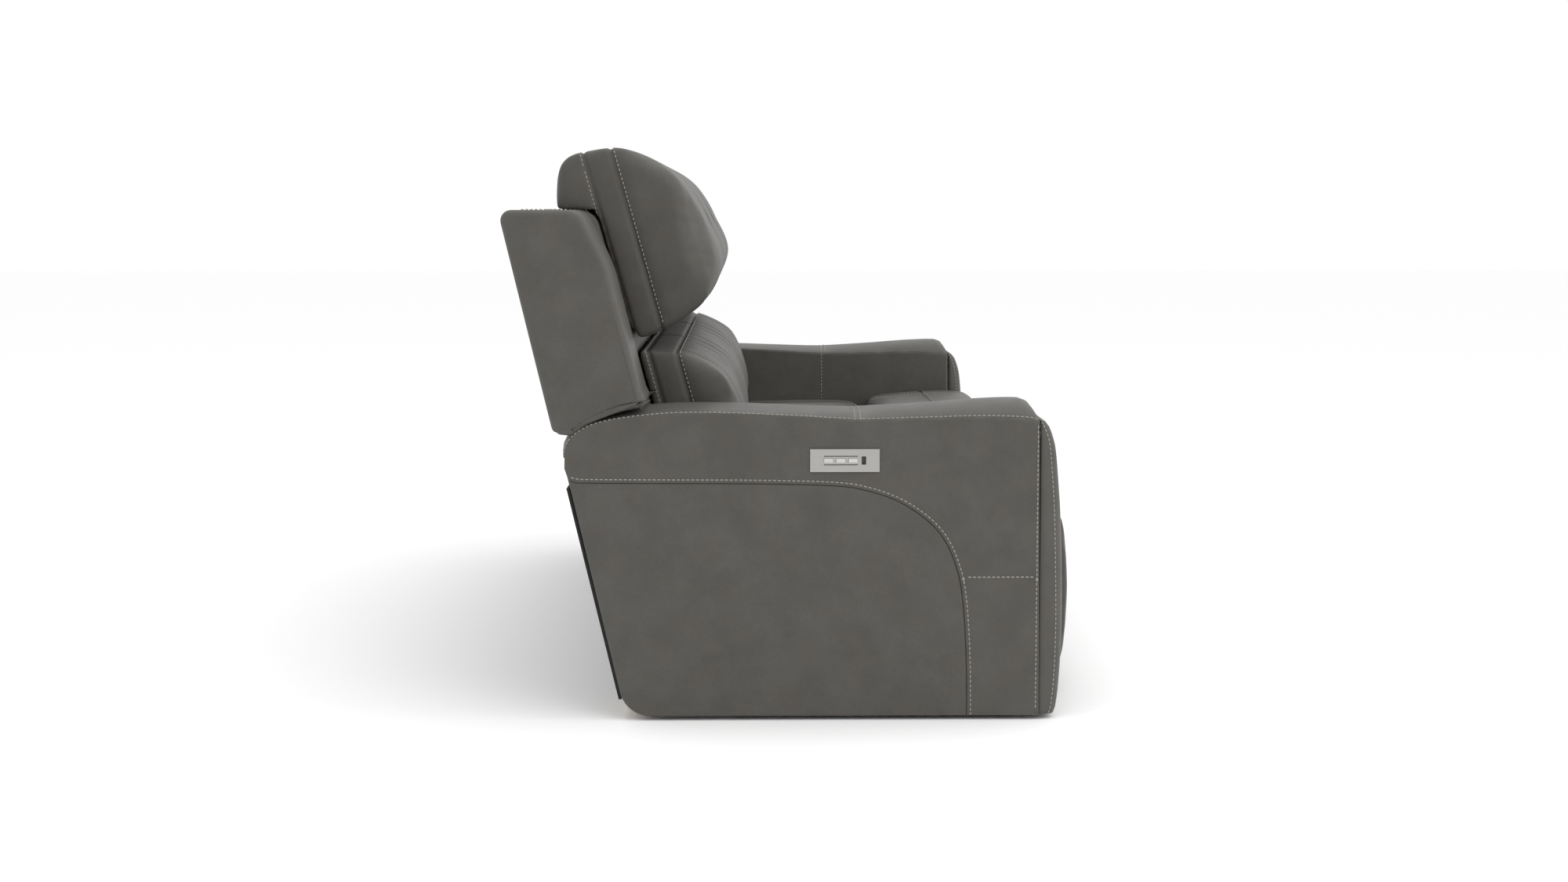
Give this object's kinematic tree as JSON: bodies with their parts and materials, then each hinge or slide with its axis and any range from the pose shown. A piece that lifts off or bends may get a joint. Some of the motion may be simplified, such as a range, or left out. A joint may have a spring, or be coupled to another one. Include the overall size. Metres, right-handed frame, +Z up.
{
  "type": "reclining sofa",
  "caption": "Long leather sofa with padded arms, pillow headrests and wings; its end seats recline, with swing-out footrests, tilting headrests and push buttons in the arms.",
  "frame": {"origin": "middle of the footprint, on the floor", "axes": "+X to the sitter's left, along the sofa; -Y is the front, where the sitter faces; +Z up"},
  "size_m": [2.1892, 1.0997, 1.086],
  "materials": {
    "leather": "warm grey full-grain leather, satin, with light topstitching",
    "dark_cover": "dark matt lining cloth",
    "plywood": "raw plywood",
    "painted_steel": "satin black powder coat",
    "bright_steel": "bright ground steel",
    "brushed_aluminium": "brushed, bevelled edge",
    "black_plastic": "fine texture"
  },
  "bodies": {
    "root": {"base_frame": "plywood", "floor_glides": "black_plastic", "rear_lower_panel": "dark_cover", "power_supply": "black_plastic", "bolts": "painted_steel", "middle_back": "leather", "middle_lumbar": "leather", "middle_headrest": "leather", "middle_seat_cushion": "leather", "middle_chaise_pad": "leather", "right_arm_frame": "plywood", "left_arm_frame": "plywood", "right_side_panel": "leather", "left_side_panel": "leather", "right_arm_band": "leather", "left_arm_band": "leather", "right_arm_top": "leather", "left_arm_top": "leather", "right_arm_front_pad": "leather", "left_arm_front_pad": "leather", "right_control_plate": "brushed_aluminium", "left_control_plate": "brushed_aluminium", "right_usb_socket": "black_plastic", "left_usb_socket": "black_plastic", "right_seat_cushion": "leather", "left_seat_cushion": "leather", "right_chaise_pad": "leather", "left_chaise_pad": "leather", "right_mechanism_plates": "painted_steel", "left_mechanism_plates": "painted_steel", "right_actuators": "black_plastic", "left_actuators": "black_plastic"},
    "right_back": {"right_back_frame": "painted_steel", "right_back_cover": "leather", "right_lumbar_cushion": "leather"},
    "right_headrest": {"right_headrest_bracket": "painted_steel", "right_headrest_pillow": "leather"},
    "right_drive_links": {"right_lower_links": "painted_steel"},
    "right_carry_links": {"right_upper_links": "painted_steel"},
    "right_footrest": {"right_footrest_frame": "plywood", "right_footrest_pad": "leather"},
    "right_recline_ram": {"right_recline_rod": "bright_steel"},
    "right_footrest_ram": {"right_footrest_rod": "bright_steel"},
    "right_open_key": {"right_open_button": "brushed_aluminium"},
    "right_close_key": {"right_close_button": "brushed_aluminium"},
    "right_home_key": {"right_home_button": "brushed_aluminium"},
    "left_back": {"left_back_frame": "painted_steel", "left_back_cover": "leather", "left_lumbar_cushion": "leather"},
    "left_headrest": {"left_headrest_bracket": "painted_steel", "left_headrest_pillow": "leather"},
    "left_drive_links": {"left_lower_links": "painted_steel"},
    "left_carry_links": {"left_upper_links": "painted_steel"},
    "left_footrest": {"left_footrest_frame": "plywood", "left_footrest_pad": "leather"},
    "left_recline_ram": {"left_recline_rod": "bright_steel"},
    "left_footrest_ram": {"left_footrest_rod": "bright_steel"},
    "left_open_key": {"left_open_button": "brushed_aluminium"},
    "left_close_key": {"left_close_button": "brushed_aluminium"},
    "left_home_key": {"left_home_button": "brushed_aluminium"}
  },
  "joints": [
    {"name": "right_recline", "type": "hinge", "parent": "root", "child": "right_back", "pos_m": [-0.574, 0.26279, 0.35], "axis": [-1, 0, 0], "range_deg": [0, 35]},
    {"name": "right_headrest_tilt", "type": "hinge", "parent": "right_back", "child": "right_headrest", "pos_m": [-0.574, 0.33171, 0.71781], "axis": [1, 0, 0], "range_deg": [0, 20]},
    {"name": "right_footrest_drive", "type": "hinge", "parent": "root", "child": "right_drive_links", "pos_m": [-0.574, -0.36, 0.29], "axis": [-1, 0, 0], "range_deg": [0, 85]},
    {"name": "right_link_elbow", "type": "hinge", "parent": "right_drive_links", "child": "right_carry_links", "pos_m": [-0.574, -0.33048, 0.12258], "axis": [-1, 0, 0], "range_deg": [-119, 0]},
    {"name": "right_footrest_turn", "type": "hinge", "parent": "right_carry_links", "child": "right_footrest", "pos_m": [-0.574, -0.425, 0.276], "axis": [-1, 0, 0], "range_deg": [0, 119]},
    {"name": "right_recline_ram_slide", "type": "slide", "parent": "root", "child": "right_recline_ram", "axis": [0, -1, 0], "range_m": [0, 0.0575]},
    {"name": "right_footrest_ram_slide", "type": "slide", "parent": "root", "child": "right_footrest_ram", "axis": [0, -1, 0], "range_m": [0, 0.134]},
    {"name": "right_open_press", "type": "slide", "parent": "root", "child": "right_open_key", "axis": [1, 0, 0], "range_m": [0, 0.0015], "stiffness_N_per_m": 300},
    {"name": "right_close_press", "type": "slide", "parent": "root", "child": "right_close_key", "axis": [1, 0, 0], "range_m": [0, 0.0015], "stiffness_N_per_m": 300},
    {"name": "right_home_press", "type": "slide", "parent": "root", "child": "right_home_key", "axis": [1, 0, 0], "range_m": [0, 0.0015], "stiffness_N_per_m": 300},
    {"name": "left_recline", "type": "hinge", "parent": "root", "child": "left_back", "pos_m": [0.574, 0.26279, 0.35], "axis": [-1, 0, 0], "range_deg": [0, 35]},
    {"name": "left_headrest_tilt", "type": "hinge", "parent": "left_back", "child": "left_headrest", "pos_m": [0.574, 0.33171, 0.71781], "axis": [1, 0, 0], "range_deg": [0, 20]},
    {"name": "left_footrest_drive", "type": "hinge", "parent": "root", "child": "left_drive_links", "pos_m": [0.574, -0.36, 0.29], "axis": [-1, 0, 0], "range_deg": [0, 85]},
    {"name": "left_link_elbow", "type": "hinge", "parent": "left_drive_links", "child": "left_carry_links", "pos_m": [0.574, -0.33048, 0.12258], "axis": [-1, 0, 0], "range_deg": [-119, 0]},
    {"name": "left_footrest_turn", "type": "hinge", "parent": "left_carry_links", "child": "left_footrest", "pos_m": [0.574, -0.425, 0.276], "axis": [-1, 0, 0], "range_deg": [0, 119]},
    {"name": "left_recline_ram_slide", "type": "slide", "parent": "root", "child": "left_recline_ram", "axis": [0, -1, 0], "range_m": [0, 0.0575]},
    {"name": "left_footrest_ram_slide", "type": "slide", "parent": "root", "child": "left_footrest_ram", "axis": [0, -1, 0], "range_m": [0, 0.134]},
    {"name": "left_open_press", "type": "slide", "parent": "root", "child": "left_open_key", "axis": [-1, 0, 0], "range_m": [0, 0.0015], "stiffness_N_per_m": 300},
    {"name": "left_close_press", "type": "slide", "parent": "root", "child": "left_close_key", "axis": [-1, 0, 0], "range_m": [0, 0.0015], "stiffness_N_per_m": 300},
    {"name": "left_home_press", "type": "slide", "parent": "root", "child": "left_home_key", "axis": [-1, 0, 0], "range_m": [0, 0.0015], "stiffness_N_per_m": 300}
  ],
  "couplings": [
    {"joint": "right_link_elbow", "follows": "right_footrest_drive", "ratio": -1.394},
    {"joint": "right_footrest_turn", "follows": "right_footrest_drive", "ratio": 1.394},
    {"joint": "right_footrest_ram_slide", "follows": "right_footrest_drive", "m_per_rad": 0.0903},
    {"joint": "right_recline_ram_slide", "follows": "right_recline", "m_per_rad": 0.0939},
    {"joint": "left_link_elbow", "follows": "left_footrest_drive", "ratio": -1.394},
    {"joint": "left_footrest_turn", "follows": "left_footrest_drive", "ratio": 1.394},
    {"joint": "left_footrest_ram_slide", "follows": "left_footrest_drive", "m_per_rad": 0.0903},
    {"joint": "left_recline_ram_slide", "follows": "left_recline", "m_per_rad": 0.0939}
  ]
}
